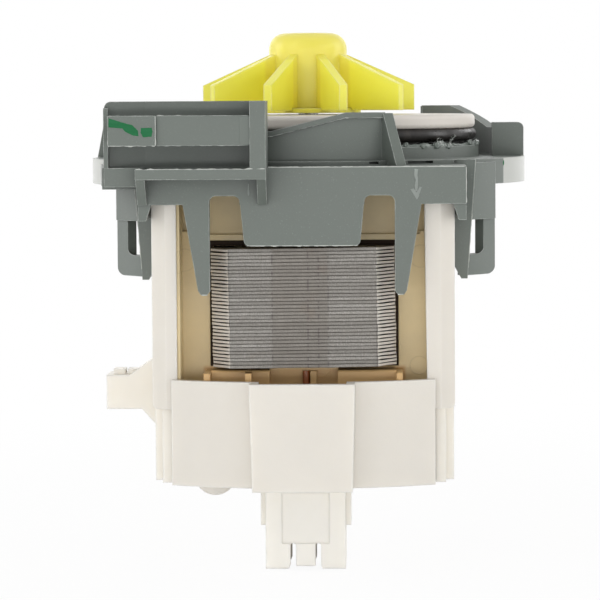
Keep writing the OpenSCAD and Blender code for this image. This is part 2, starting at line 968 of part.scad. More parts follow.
// The lower cover's outline from above, drawn in by an inset
module cover_outline(inset) {
    intersection() {
        translate([0, cover_centre_y])
            circle(r = cover_r - inset);
        translate([inset - cover_w / 2, -cover_r])
            square([cover_w - 2 * inset, cover_r + cover_back]);
    }
}

// The box in the middle of the lower cover, drawn in by an inset
module cover_box(inset, y_front, z_low) {
    front_plate(y_front, column_front)
        polygon([[inset - box_top_w / 2, cover_top], [box_top_w / 2 - inset, cover_top],
            [box_low_w / 2 - inset, z_low], [inset - box_low_w / 2, z_low]]);
}

module lower_cover() {
    color(CREAM) {
        difference() {
            union() {
                plan_plate(cover_low, cover_top)
                    cover_outline(0);
                cover_box(0, box_front, box_low);
            }
            plan_plate(cover_low + cover_t, cover_top + 1)
                cover_outline(cover_t);
            translate([0, 0, 0.01])
                cover_box(cover_t, box_front + cover_t, cover_low + cover_t);
            block([-cover_w, column_front, column_low], [cover_w, cover_back + 1, cover_top + 1]);
        }
        intersection() {
            translate([dome_x, dome_y, dome_z])
                sphere(dome_r);
            block([dome_x - 5, dome_y - 5, cover_low - 5], [dome_x + 5, dome_y + 5, cover_low + 0.5]);
        }
    }
}

// One slot between the connector's prongs, wider at its mouth
module plug_slot() {
    half = (slot_x[1] - slot_x[0]) / 2;
    round_rect([-half, plug_low - 2], [half, slot_top], 0.35);
    polygon([[-half, plug_low + slot_flare], [half, plug_low + slot_flare],
        [half + slot_flare, plug_low - 1], [-half - slot_flare, plug_low - 1]]);
}

module connector_housing() {
    half = plug_w / 2;
    back = plug_front + plug_d;
    color(CREAM)
        difference() {
            union() {
                block([-half, plug_front, plug_low], [half, back, plug_top]);
                block([-wing_w / 2, plug_front + 2.5, wing_low], [wing_w / 2, back - 2.5, plug_top]);
            }
            block([plug_wall - half, plug_front + plug_wall, plug_low - 1],
                [half - plug_wall, back - plug_wall, plug_top - plug_roof]);
            for (side = [-1, 1]) {
                front_plate(plug_front - 1, back + 1)
                    translate([side * (slot_x[0] + slot_x[1]) / 2, 0])
                        plug_slot();
                translate([side * terminal_pitch / 2, terminal_y, 0])
                    block([-blade_w / 2, -blade_thick / 2, plug_low],
                        [blade_w / 2, blade_thick / 2, plug_top + 1]);
            }
            block([-panel_w / 2, plug_front - 1, slot_top],
                [panel_w / 2, plug_front + panel_depth, plug_top - 3]);
            block([-slot_x[0], plug_front - 1, plug_low - 1], [slot_x[0], plug_front + 3, plug_low + 0.5]);
        }
}

// The right terminal: a blade in the socket with a foot for the wire
module terminal() {
    color(BRASS)
        translate([0, terminal_y, 0]) {
            translate([terminal_pitch / 2, 0, 0])
                block([-blade_w / 2, -blade_thick / 2, terminal_low],
                    [blade_w / 2, blade_thick / 2, terminal_top]);
            block([terminal_pitch / 2 - blade_w / 2, -blade_thick / 2, terminal_top - 0.8],
                [lead_x + 1, blade_thick / 2, terminal_top]);
        }
}

module terminal_left() {
    mirror([1, 0, 0])
        terminal();
}

module terminal_right() {
    terminal();
}

module rotor_shaft() {
    tip = 0.4;
    color(STEEL) {
        translate([0, 0, shaft_low + tip])
            cylinder(r = shaft_r, h = shaft_top - shaft_low - 2 * tip);
        translate([0, 0, shaft_low])
            cylinder(r1 = shaft_r - tip, r2 = shaft_r, h = tip);
        translate([0, 0, shaft_top - tip])
            cylinder(r1 = shaft_r, r2 = shaft_r - tip, h = tip);
    }
}

module rotor_sleeve() {
    magnet_low = core_mid - magnet_l / 2;
    magnet_top = core_mid + magnet_l / 2;
    color(BLACK) {
        tube(sleeve_r, shaft_r, sleeve_low, sleeve_top);
        tube(sleeve_end_r, shaft_r, magnet_low - sleeve_end, magnet_low);
        tube(sleeve_end_r, shaft_r, magnet_top, magnet_top + sleeve_end);
    }
}

module rotor_magnet() {
    color(BLACK)
        tube(magnet_r, sleeve_r, core_mid - magnet_l / 2, core_mid + magnet_l / 2);
}

module front_thrust_washer() {
    color(STEEL)
        tube(washer_r, shaft_r, sleeve_top, sleeve_top + washer_t);
}

module rear_thrust_washer() {
    color(STEEL)
        tube(washer_r, shaft_r, sleeve_low - washer_t, sleeve_low);
}

module drive_dog() {
    color(BLACK) {
        tube(dog_r, shaft_r, dog_low, dog_top);
        arc_wall(hub_in_r - dog_gap, dog_r - 0.5, -90 - dog_angle / 2, -90 + dog_angle / 2, dog_low, dog_top);
    }
}

// The impeller's hub, hollow for the clutch, with the stop that the dog turns against
module hub() {
    difference() {
        union() {
            translate([0, 0, clutch_top])
                cylinder(r = hub_r, h = hub_top - hub_round - clutch_top);
            translate([0, 0, clutch_top])
                cylinder(r = hub_r - hub_round, h = hub_top - clutch_top);
            rotate_extrude()
                translate([hub_r - hub_round, hub_top - hub_round])
                    circle(hub_round);
        }
        translate([0, 0, clutch_top - 1])
            cylinder(r = hub_in_r, h = cavity_top - clutch_top + 1);
        translate([0, 0, cavity_top - 1])
            cylinder(r = shaft_r + run_gap, h = shaft_top + 0.4 - cavity_top + 1);
    }
    arc_wall(hub_in_r + 0.5, dog_r + 0.3, 90 - dog_angle / 2, 90 + dog_angle / 2, dog_low, cavity_top + 0.5);
}

module impeller() {
    color(YELLOW)
        difference() {
            union() {
                hub();
                for (i = [0:blade_count - 1])
                    rotate([0, 0, -90 + blade_phase + i * 360 / blade_count])
                        front_plate(-blade_t / 2, blade_t / 2)
                            polygon([[hub_r - 0.7, blade_low], [blade_r, blade_low], [blade_r, blade_end_top],
                                [hub_r, blade_root_top], [hub_r - 0.7, blade_root_top]]);
            }
            translate([0, 0, clutch_low - 1])
                cylinder(r = clutch_r + 0.1, h = clutch_t + 1);
        }
}

module clutch_cover() {
    color(YELLOW)
        difference() {
            union() {
                translate([0, 0, clutch_low])
                    cylinder(r = clutch_r, h = clutch_t);
                translate([0, 0, clutch_top - 0.5])
                    cylinder(r = hub_in_r, h = plug_in_h + 0.5);
            }
            translate([0, 0, clutch_low - 1])
                cylinder(r = shaft_r + 0.6, h = clutch_t + plug_in_h + 2);
        }
}

mounting_plate();
latch_bar();
front_disc();
flange_seal();
shaft_seal();
front_bearing();
front_bearing_mount();
rear_bearing();
rear_bearing_mount();
stator_core();
coil_former();
coil_left();
coil_right();
winding_lead_left();
winding_lead_right();
thermal_fuse();
stator_casing();
lower_cover();
connector_housing();
terminal_left();
terminal_right();
rotor_shaft();
rotor_sleeve();
rotor_magnet();
front_thrust_washer();
rear_thrust_washer();
drive_dog();
impeller();
clutch_cover();
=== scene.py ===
import math
import random

import bmesh
import bpy
from mathutils import Matrix, Vector, noise


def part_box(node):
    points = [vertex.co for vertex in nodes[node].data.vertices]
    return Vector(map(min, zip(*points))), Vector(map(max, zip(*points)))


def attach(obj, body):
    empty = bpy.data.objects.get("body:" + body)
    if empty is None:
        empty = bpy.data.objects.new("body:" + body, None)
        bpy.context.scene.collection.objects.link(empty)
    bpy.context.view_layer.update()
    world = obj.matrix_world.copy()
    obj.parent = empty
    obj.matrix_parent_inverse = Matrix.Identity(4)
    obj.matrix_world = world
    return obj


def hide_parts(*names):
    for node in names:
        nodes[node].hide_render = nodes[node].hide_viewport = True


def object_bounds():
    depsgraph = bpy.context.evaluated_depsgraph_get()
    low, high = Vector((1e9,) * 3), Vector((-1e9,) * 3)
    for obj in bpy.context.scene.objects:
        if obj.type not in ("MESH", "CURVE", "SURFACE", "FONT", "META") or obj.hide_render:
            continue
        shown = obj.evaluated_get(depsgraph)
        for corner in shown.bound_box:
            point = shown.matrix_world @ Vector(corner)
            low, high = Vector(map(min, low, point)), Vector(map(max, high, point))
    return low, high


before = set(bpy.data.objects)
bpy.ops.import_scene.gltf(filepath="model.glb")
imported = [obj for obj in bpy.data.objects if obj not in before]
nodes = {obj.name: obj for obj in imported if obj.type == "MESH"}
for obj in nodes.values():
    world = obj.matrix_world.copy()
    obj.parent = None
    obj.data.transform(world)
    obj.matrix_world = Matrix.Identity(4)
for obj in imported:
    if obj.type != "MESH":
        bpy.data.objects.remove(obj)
cad_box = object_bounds()
scene = bpy.context.scene
MM = 0.001
rng = random.Random(7)


def box_mm(node):
    """The lowest and the highest corner of a CAD node, in mm."""
    return [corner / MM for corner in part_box(node)]


# Places from the frame, in mm: flange, latch box, latch bar with its thick end, stator core
plate_low, plate_high = box_mm("mounting_plate")
bar_low, bar_high = box_mm("latch_bar")
core_low, core_high = box_mm("stator_core")
FLANGE_R = plate_high.x
BOX_FRONT = plate_low.y
BOX_TOP = plate_high.z
BAR_LOW = bar_low.z
BAR_TOP = bar_high.z
PAD_LEFT = bar_low.x
PAD_RIGHT = PAD_LEFT + 8.7
PAD_FRONT = bar_low.y
BAR_FRONT = PAD_FRONT + 0.6
CORE_FRONT = core_low.y
CORE_BACK = core_high.y
CORE_HALF = core_high.x

# Places on the grey plate that the boxes of its nodes don't give, in mm
SHELF_LEFT = -30.3
SHELF_TOP = -1.1
CHEEK_FRONT = -49.6
POST_LEFT = -9.3
POST_RIGHT = -6.4
DECK_TOP = -0.9
SKIRT_FRONT = -48.0
SKIRT_RIGHT = 30.3
SKIRT_LOW = -7.8
TAB_LOW = -15.5
TAB_HALF = 10.8
FINGER_LOW = -24.5
LEG_FRONT = -31.8
RAMP_BEAD_R = 41.0
RAMP_FOOT = (-6, 4.6)
RAMP_CREST = (8, 8.0)

# The stack of laminations, in mm. The sheets rise to the right by the slope and are cut back beyond the fold.
SHEETS = 34
SHEET_PITCH = 0.656
SHEET_THICK = 0.6
SHEET_LOW = core_low.z - 0.2
SHEET_SLOPE = 0.0105
SHEET_FOLD = 13.75
SHEET_CUT = 4.5
YOKE_BACK = -35.5
LEG_INNER = 6.6
POLE_HALF_GAP = 2.5
BORE_R = 11.9

# The photograph's camera: its frame, focal length and aim in pixels, its place in metres, its roll in degrees
IMAGE_PX = 600
FOCAL_PX = 2976
CENTRE_PX = (-88.3, -205)
CAMERA_PLACE = (0.0158, -0.596, 0.0123)
CAMERA_ROLL = -0.35
SENSOR_MM = 36


def make_camera():
    cam = bpy.data.cameras.new("camera")
    cam.sensor_width = SENSOR_MM
    cam.lens = FOCAL_PX * SENSOR_MM / IMAGE_PX
    cam.clip_start, cam.clip_end = 0.01, 20
    obj = bpy.data.objects.new("camera", cam)
    obj.location = CAMERA_PLACE
    right, up = CENTRE_PX
    aim = Vector((right / FOCAL_PX, 1, up / FOCAL_PX))
    roll = Matrix.Rotation(math.radians(CAMERA_ROLL), 3, "Z")
    obj.rotation_euler = (aim.to_track_quat("-Z", "Y").to_matrix() @ roll).to_euler()
    scene.collection.objects.link(obj)
    scene.camera = obj


# Short calls for building node materials
def srgb(r, g, b):
    """A colour read as 0 to 255 in sRGB, as linear RGBA."""
    lin = [c / 255 / 12.92 if c <= 10 else ((c / 255 + 0.055) / 1.055) ** 2.4 for c in (r, g, b)]
    return (*lin, 1.0)


def shade(colour, k):
    """A colour made k times as bright."""
    return (*(min(1.0, c * k) for c in colour[:3]), 1.0)


class Shader:
    """A material under construction."""

    def __init__(self, name):
        self.mat = bpy.data.materials.new(name)
        self.mat.use_nodes = True
        self.tree = self.mat.node_tree
        self.bsdf = self.tree.nodes["Principled BSDF"]
        self.place = self.add("TexCoord").outputs["Object"]

    def add(self, kind, inputs=None, **settings):
        node = self.tree.nodes.new("ShaderNode" + kind)
        for key, value in settings.items():
            setattr(node, key, value)
        for key, value in (inputs or {}).items():
            self.put(node.inputs[key], value)
        return node

    def put(self, socket, value):
        if isinstance(value, bpy.types.NodeSocket):
            self.tree.links.new(value, socket)
        else:
            socket.default_value = value

    def set(self, **inputs):
        for key, value in inputs.items():
            self.put(self.bsdf.inputs[key.replace("_", " ")], value)

    def math(self, op, a, b=0.0):
        return self.add("Math", {0: a, 1: b}, operation=op).outputs[0]

    def times(self, first, *others):
        for other in others:
            first = self.math("MULTIPLY", first, other)
        return first

    def off(self, value, place=0.0):
        """How far a value lies from a place in mm, to either side."""
        return self.math("ABSOLUTE", self.math("SUBTRACT", value, place * MM))

    def vmath(self, op, a, b=(0.0, 0.0, 0.0)):
        node = self.add("VectorMath", {0: a, 1: b}, operation=op)
        return node.outputs["Value" if op in ("DOT_PRODUCT", "LENGTH", "DISTANCE") else "Vector"]

    def axis(self, which):
        return self.add("SeparateXYZ", {0: self.place}).outputs[which]

    def radius(self):
        """The distance from the shaft's axis."""
        return self.vmath("LENGTH", self.vmath("MULTIPLY", self.place, (1.0, 1.0, 0.0)))

    def facing(self):
        """The surface's own normal."""
        return self.add("NewGeometry").outputs["Normal"]

    def noise(self, scale, detail=2.0, stretch=None, rough=0.5):
        """A noise whose scale counts features per metre."""
        place = self.place
        if stretch:
            place = self.add("Mapping", {"Vector": place, "Scale": stretch}).outputs[0]
        inputs = {"Vector": place, "Scale": scale, "Detail": detail, "Roughness": rough}
        return self.add("TexNoise", inputs).outputs[0]

    def step(self, value, low, high, to_low=0.0, to_high=1.0):
        inputs = {"Value": value, "From Min": low, "From Max": high, "To Min": to_low, "To Max": to_high}
        return self.add("MapRange", inputs, interpolation_type="SMOOTHSTEP").outputs[0]

    def past(self, value, low, high):
        """0 up to low and 1 from high on, both in mm."""
        return self.step(value, low * MM, high * MM)

    def short(self, value, low, high):
        """1 up to low and 0 from high on, both in mm."""
        return self.step(value, low * MM, high * MM, 1.0, 0.0)

    def mix(self, fac, a, b):
        return self.add("Mix", {0: fac, 6: a, 7: b}, data_type="RGBA").outputs[2]

    def over(self, tone, colour, *masks):
        """A tone with a colour laid over it where all the masks are high."""
        return self.mix(self.times(*masks), tone, colour)

    def edges(self, radius, full=0.08):
        """The normal rounded at edges, and a mask of outer edges that is 1 where the turn reaches full."""
        bevel = self.add("Bevel", {"Radius": radius}, samples=6).outputs["Normal"]
        turn = self.math("SUBTRACT", 1.0, self.vmath("DOT_PRODUCT", bevel, self.facing()))
        reach = {"Distance": radius * 2.5}
        free = self.add("AmbientOcclusion", reach, samples=4, only_local=True).outputs["AO"]
        return bevel, self.times(self.step(turn, 0.004, full), self.step(free, 0.72, 0.92))

    def bump(self, height, depth, normal):
        """A normal with a relief laid over it, its depth in mm."""
        inputs = {"Distance": depth * MM, "Height": height, "Normal": normal}
        return self.add("Bump", inputs).outputs[0]


# Plastics, with the scales of their noises in features per metre
CLOUDS = 55
PATCHES = 420
GRAIN = 2400
FLECKS = 4200


def clouded(s, cloud, colour, mottle):
    """A colour that gets darker and lighter by a share, with a cloud of noise."""
    return s.mix(s.step(cloud, 0.3, 0.7), shade(colour, 1 - mottle), shade(colour, 1 + mottle))


def plastic(name, colour, rough, radius, edge, edge_wear_highlight_amount=0.5, full=0.08, grain=0.012, mottle=0.05,
            painted_light_rear=None, specks=None, rings=(), layers=(), shine=0.5, sheen=0.0, glow=0.0, depth=2.2):
    """Moulded plastic: cloudy colour, fine grain, edges lighter in places by wear and painted highlight, ring
    marks, then layers.

    The edges' radius, the grain and the depth of the glow are in mm. Each layer takes the shader and a tone.
    """
    s = Shader(name)
    cloud = s.noise(CLOUDS, 5, rough=0.6)
    tone = clouded(s, cloud, colour, mottle)
    # Painted light: the parts behind the columns' front faces get a paler copy of the colour.
    if painted_light_rear:
        behind_columns = s.past(s.axis("Y"), -43.6, -43.1)
        tone = s.mix(behind_columns, tone, clouded(s, cloud, painted_light_rear, mottle))
    if specks:
        tone = s.over(tone, specks, s.step(s.noise(FLECKS, 1), 0.66, 0.76), 0.2)
    # Outer edges lighter in patches: partly wear, partly painted highlight.
    normal, outer = s.edges(radius * MM, full)
    along = s.step(s.noise(PATCHES, 3), 0.36, 0.62, 0.35, 1.0)
    tone = s.over(tone, edge, outer, along, edge_wear_highlight_amount)
    fine = s.math("ADD", s.noise(GRAIN, 3), s.times(s.noise(PATCHES, 2), 1.5))
    normal = s.bump(fine, grain, normal)
    for x, z, r, groove in rings:
        from_front = s.vmath("MULTIPLY", s.place, (1.0, 0.0, 1.0))
        away = s.vmath("DISTANCE", from_front, (x * MM, 0.0, z * MM))
        ring = s.short(s.off(away, r), 0.0, 0.16)
        tone = s.over(tone, shade(colour, 0.62), ring, 0.3)
        normal = s.bump(ring, groove, normal)
    for layer in layers:
        tone = layer(s, tone)
    s.set(Base_Color=tone, Roughness=s.step(cloud, 0.25, 0.75, rough - 0.05, rough + 0.06), Normal=normal,
          Specular_IOR_Level=shine)
    if sheen:
        s.set(Sheen_Weight=sheen, Sheen_Roughness=0.35)
    if glow:
        s.set(Subsurface_Weight=glow, Subsurface_Radius=(1.0, 0.95, 0.85), Subsurface_Scale=depth * MM)
    return s.mat


def hub_tone(s, tone):
    """The deeper yellow of the impeller's hub."""
    return s.over(tone, srgb(239, 227, 98), s.short(s.radius(), 9.6, 10.6), 0.85)


def painted_foot_shade(s, tone):
    """Painted shade, dark and brown, on the former below the stack."""
    below = s.short(s.axis("Z"), -39.2, -38.2)
    inner = s.short(s.off(s.axis("X")), 18.6, 19.4)
    return s.over(tone, srgb(206, 160, 98), below, inner, 0.8)


def painted_corner_shade(colour, amount):
    """A layer of painted shade: darkens a colour where little light gets in, and half as much behind the
    front parts.
    """
    def layer(s, tone):
        free = s.add("AmbientOcclusion", {"Distance": 12 * MM}, samples=6).outputs["AO"]
        front = s.step(s.axis("Y"), -44 * MM, -34 * MM, 1.0, 0.5)
        return s.over(tone, shade(colour, 0.4), s.step(free, 0.2, 0.75, amount, 0.0), front)
    return layer


def painted_rim_highlight(s, tone):
    """The outer wall of the flange on both sides: a pale painted highlight with a thin coat, fading out
    towards the back.
    """
    x, y, z = (s.axis(a) for a in "XYZ")
    wall = s.short(s.off(s.radius(), FLANGE_R), 0.4, 0.9)
    height = s.times(s.past(z, -5.2, -4.8), s.short(z, 0.1, 0.2))
    rim_highlight = s.times(wall, height, s.past(s.off(x), 38.0, 38.3), s.short(y, 6, 19))
    s.set(Coat_Weight=s.times(rim_highlight, 0.3), Coat_Roughness=0.3)
    return s.over(tone, srgb(198, 199, 193), rim_highlight, 0.8)


# Metals, rubber, paint and grease
def lamination_steel():
    """Punched sheet edges: a tone for each sheet, drawn-out scratches, a darker rubbed band in the middle."""
    scratch_lines = (-5.7, 0.95, 2.9, 4.7)
    s = Shader("lamination_steel")
    x = s.axis("X")
    level = s.math("SUBTRACT", s.axis("Z"), s.times(x, SHEET_SLOPE))
    sheet = s.math("FLOOR", s.math("DIVIDE", s.math("SUBTRACT", level, SHEET_LOW * MM), SHEET_PITCH * MM))
    own = s.add("TexWhiteNoise", {"W": sheet}, noise_dimensions="1D").outputs["Value"]
    streak = s.noise(900, 3, stretch=(0.1, 1.0, 1.0))
    shear = s.noise(900, 2, stretch=(3.2, 1.0, 0.35))
    tone = s.mix(s.step(own, 0.0, 1.0), srgb(122, 119, 114), srgb(144, 141, 136))
    tone = s.over(tone, srgb(120, 116, 110), s.step(streak, 0.4, 0.7), 0.35)
    tone = s.over(tone, srgb(182, 179, 175), s.step(shear, 0.5, 0.8), 0.3)
    grit = s.step(s.noise(5200, 1), 0.35, 0.65)
    tone = s.over(tone, srgb(92, 88, 82), grit, 0.5)
    rubbed = s.times(s.past(x, -5.9, -5.5), s.short(x, 4.4, 4.8))
    tone = s.over(tone, srgb(108, 102, 95), rubbed, 0.55)
    dots = s.step(s.noise(1500, 1, stretch=(0.2, 1.0, 1.0)), 0.48, 0.56)
    for place in scratch_lines:
        tone = s.over(tone, srgb(58, 54, 50), s.short(s.off(x, place), 0.06, 0.2), dots, 0.5)
    fold = s.short(s.off(s.off(x), SHEET_FOLD), 0.05, 0.2)
    tone = s.over(tone, srgb(70, 66, 62), fold, 0.45)
    facing = s.add("SeparateXYZ", {0: s.facing()}).outputs
    # Painted highlight: the cut corners' faces, turned sideways, made near white as a reflection of light.
    painted_cut_highlight = s.step(s.off(facing["X"]), 0.45, 0.75)
    tone = s.over(tone, srgb(244, 240, 234), painted_cut_highlight, 0.8)
    rust = s.step(s.noise(160, 4), 0.6, 0.78)
    tone = s.over(tone, srgb(120, 98, 80), rust, 0.2)
    # Painted shade: the upward-facing top of the stack made dark brown-black.
    painted_top_shade = s.mix(s.step(s.noise(420, 4), 0.45, 0.65), srgb(32, 27, 24), srgb(84, 75, 66))
    tone = s.mix(s.step(facing["Z"], 0.9, 0.98), tone, painted_top_shade)
    s.set(Base_Color=tone, Metallic=0.5, Roughness=s.step(shear, 0.3, 0.7, 0.4, 0.56),
          Normal=s.bump(s.math("ADD", streak, shear), 0.012, s.facing()))
    return s.mat


def rubber(name, colour, rough, grease):
    """Dark rubber: dusty in places, and smoother by the share grease where it is wet."""
    s = Shader(name)
    dust = s.step(s.noise(240, 4), 0.52, 0.75)
    wet = s.step(s.noise(150, 3), 0.42, 0.62)
    normal, _ = s.edges(0.2 * MM)
    s.set(Base_Color=s.over(colour, srgb(112, 104, 98), dust, 0.2), Specular_IOR_Level=0.3,
          Roughness=s.step(wet, 0.0, 1.0, rough, rough * (1 - grease)),
          Normal=s.bump(s.noise(1400, 3), 0.03, normal))
    return s.mat


def metal(name, colour, rough):
    """Turned or drawn metal with fine lines along the shaft's axis and faint tarnish."""
    s = Shader(name)
    lines = s.noise(2500, 3, stretch=(1.0, 1.0, 0.05))
    tarnish = s.step(s.noise(180, 4), 0.5, 0.75)
    normal, _ = s.edges(0.12 * MM)
    s.set(Base_Color=s.over(colour, shade(colour, 0.6), tarnish, 0.3), Metallic=1.0,
          Roughness=s.step(lines, 0.3, 0.7, rough - 0.06, rough + 0.08), Normal=s.bump(lines, 0.01, normal))
    return s.mat


def windings():
    """Enamelled wire laid turn beside turn round the spool, which runs front to back."""
    wire_pitch, wave_at_scale_1 = 0.829, math.tau / 20
    s = Shader("windings")
    scale = wave_at_scale_1 / (wire_pitch * MM)
    inputs = {"Vector": s.place, "Scale": scale, "Distortion": 0.6, "Detail": 1.0}
    row = s.add("TexWave", inputs, wave_type="BANDS", bands_direction="Y").outputs["Fac"]
    layer = s.step(s.noise(300, 3), 0.45, 0.7)
    tone = s.mix(s.step(row, 0.1, 0.8), srgb(70, 26, 12), srgb(176, 92, 48))
    s.set(Base_Color=s.over(tone, srgb(120, 52, 24), layer, 0.4), Metallic=0.6, Roughness=0.3,
          Normal=s.bump(row, 0.12, s.facing()))
    return s.mat


def paint(name, colour):
    """Hand-dabbed marking paint, thin in places."""
    s = Shader(name)
    thin = s.step(s.noise(900, 4, stretch=(0.35, 1.0, 1.0)), 0.38, 0.66)
    s.set(Base_Color=s.over(colour, srgb(90, 140, 112), thin, 0.14), Specular_IOR_Level=0.25,
          Roughness=s.step(thin, 0.0, 1.0, 0.45, 0.6), Normal=s.bump(s.noise(1500, 3), 0.03, s.facing()))
    return s.mat


def gel(name, clear, cloudy, through):
    """Silicone grease, clear in places and cloudy in others."""
    s = Shader(name)
    cloud = s.step(s.noise(500, 3), 0.4, 0.7)
    s.set(Base_Color=s.mix(cloud, clear, cloudy), Roughness=0.16, IOR=1.42, Transmission_Weight=through,
          Normal=s.bump(s.noise(1600, 2), 0.04, s.facing()))
    return s.mat


# The materials, with the ring marks of the former as x, z, radius and groove in mm
GREY = srgb(100, 107, 101)
# Pale edges of the cream: wear and painted highlight.
CREAM_EDGE_WEAR_HIGHLIGHT = srgb(252, 250, 245)
TAN = srgb(230, 209, 162)
TAN_RINGS = [(-22.6, -18.6, 2.1, 0.03), (22.0, -18.0, 2.1, 0.03), (21.6, -38.6, 1.7, 0.03),
             (3.4, -38.9, 1.45, 0.02)]

# Grey gets painted shade in its corners and a painted highlight on the flange's outer wall.
grey = plastic("grey_plastic", GREY, 0.46, 0.22, srgb(204, 208, 203), 0.85, grain=0.014, mottle=0.04,
               specks=srgb(165, 172, 168), layers=[painted_corner_shade(GREY, 0.75), painted_rim_highlight], sheen=0.06)
grey_plain = plastic("grey_plain", GREY, 0.46, 0.01, GREY, 0.0, grain=0.014, mottle=0.04)
flash_grey = plastic("flash_grey", srgb(186, 190, 184), 0.5, 0.05, srgb(214, 214, 208), 0.4)
arrow_grey = plastic("arrow_grey", srgb(130, 136, 131), 0.55, 0.05, srgb(176, 180, 176), 0.5, mottle=0.25)
# Cream is painted paler behind the columns' front faces, as painted light.
cream = plastic("cream_plastic", srgb(223, 218, 209), 0.4, 0.4, CREAM_EDGE_WEAR_HIGHLIGHT, 0.7, grain=0.01, mottle=0.018,
                painted_light_rear=srgb(238, 233, 223), glow=0.4, depth=3.0)
# A paler copy of the cream for the connector, as painted light.
cream_socket_painted_light = plastic("cream_socket_painted_light_plastic", srgb(245, 241, 232), 0.4, 0.4, CREAM_EDGE_WEAR_HIGHLIGHT, 0.7, grain=0.01,
                       mottle=0.018, glow=0.4, depth=3.0)
cream_disc = plastic("cream_disc_plastic", srgb(216, 210, 201), 0.42, 0.4, srgb(250, 246, 240), 0.4,
                     mottle=0.025, glow=0.1)
yellow = plastic("yellow_plastic", srgb(254, 244, 94), 0.36, 0.35, srgb(248, 243, 168), 0.8, full=0.16,
                 grain=0.01, mottle=0.03, layers=[hub_tone], glow=0.6, depth=3.0)
# Tan gets painted shade below the stack and in its corners.
tan = plastic("tan_plastic", TAN, 0.44, 0.25, srgb(224, 204, 160), 0.6, grain=0.016, mottle=0.07,
              specks=srgb(214, 192, 148), rings=TAN_RINGS, layers=[painted_foot_shade, painted_corner_shade(TAN, 0.15)],
              glow=0.08)
black = plastic("black_plastic", srgb(38, 38, 38), 0.5, 0.2, srgb(80, 80, 80), 0.4, mottle=0.1)
fuse_brown = plastic("fuse_sleeve", srgb(150, 82, 36), 0.32, 0.15, srgb(184, 122, 70), 0.5, mottle=0.12)
film = plastic("varnish_film", srgb(108, 102, 94), 0.6, 0.05, srgb(120, 114, 106), 0.2, mottle=0.15,
               shine=0.3)
# A dark material for painted shadow in the gap round the stack.
gap_shadow_material = plastic("painted_gap_shadow", srgb(46, 34, 22), 0.6, 0.1, srgb(52, 42, 34), 0.2, mottle=0.2, shine=0.15)
seal = rubber("seal_rubber", srgb(26, 23, 21), 0.52, grease=0.5)
steel = lamination_steel()
copper = windings()
bronze = metal("sintered_bronze", srgb(176, 134, 82), 0.46)
brass = metal("terminal_brass", srgb(206, 184, 128), 0.3)
shaft = metal("shaft_steel", srgb(196, 196, 198), 0.22)
ferrite = metal("ferrite", srgb(62, 62, 66), 0.6)
green = paint("green_paint", srgb(2, 98, 52))
grease = gel("grease", srgb(100, 108, 102), srgb(140, 148, 141), 0.1)
pale_grease = gel("pale_grease", srgb(140, 145, 140), srgb(196, 198, 192), 0.15)

BY_NODE = {
    "mounting_plate": grey, "latch_bar": grey, "impeller": yellow, "clutch_cover": yellow,
    "front_disc": cream_disc, "flange_seal": seal, "shaft_seal": seal,
    "front_bearing_mount": seal, "rear_bearing_mount": seal, "front_bearing": bronze, "rear_bearing": bronze,
    "stator_core": steel, "coil_former": tan, "coil_left": copper, "coil_right": copper,
    "winding_lead_left": copper, "winding_lead_right": copper, "thermal_fuse": fuse_brown,
    "stator_casing": cream, "lower_cover": cream, "connector_housing": cream_socket_painted_light,
    "terminal_left": brass, "terminal_right": brass, "rotor_shaft": shaft, "rotor_sleeve": black,
    "drive_dog": black, "rotor_magnet": ferrite, "front_thrust_washer": shaft, "rear_thrust_washer": shaft,
}


def dress_nodes():
    for name, material in BY_NODE.items():
        mesh = nodes[name].data
        mesh.materials.clear()
        mesh.materials.append(material)


# Pieces of the scene's own, drawn in millimetres in the shared frame
def piece(name, bm, body, material, smooth=False):
    bm.transform(Matrix.Scale(MM, 4))
    bmesh.ops.recalc_face_normals(bm, faces=bm.faces)
    for face in bm.faces:
        face.smooth = smooth
    mesh = bpy.data.meshes.new(name)
    bm.to_mesh(mesh)
    bm.free()
    mesh.materials.append(material)
    obj = bpy.data.objects.new(name, mesh)
    scene.collection.objects.link(obj)
    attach(obj, body)
    return obj


def ripple(x, y, z):
    """A smooth noise at a place, from about -1 to 1."""
    return noise.noise(Vector((x, y, z)))


def between(a, b, step):
    """Points from a to b, b left out, about a step apart."""
    n = max(1, round((Vector(b) - Vector(a)).length / step))
    return [Vector(a).lerp(Vector(b), i / n) for i in range(n)]


def circle(corners, r):
    """Points round a circle in X and Z."""
    angles = [math.tau * i / corners for i in range(corners)]
    return [r * Vector((math.cos(angle), 0, math.sin(angle))) for angle in angles]


def skin(bm, rings, closed=False):
    """A solid through rings of points: back to the first ring if closed, or else with a cap at each end."""
    rings = [[bm.verts.new(p) for p in ring] for ring in rings]
    following = rings[1:] + rings[:1] if closed else rings[1:]
    for a, b in zip(rings, following):
        for i in range(len(a)):
            j = (i + 1) % len(a)
            bm.faces.new((a[i], a[j], b[j], b[i]))
    if not closed:
        bm.faces.new(list(reversed(rings[0])))
        bm.faces.new(rings[-1])


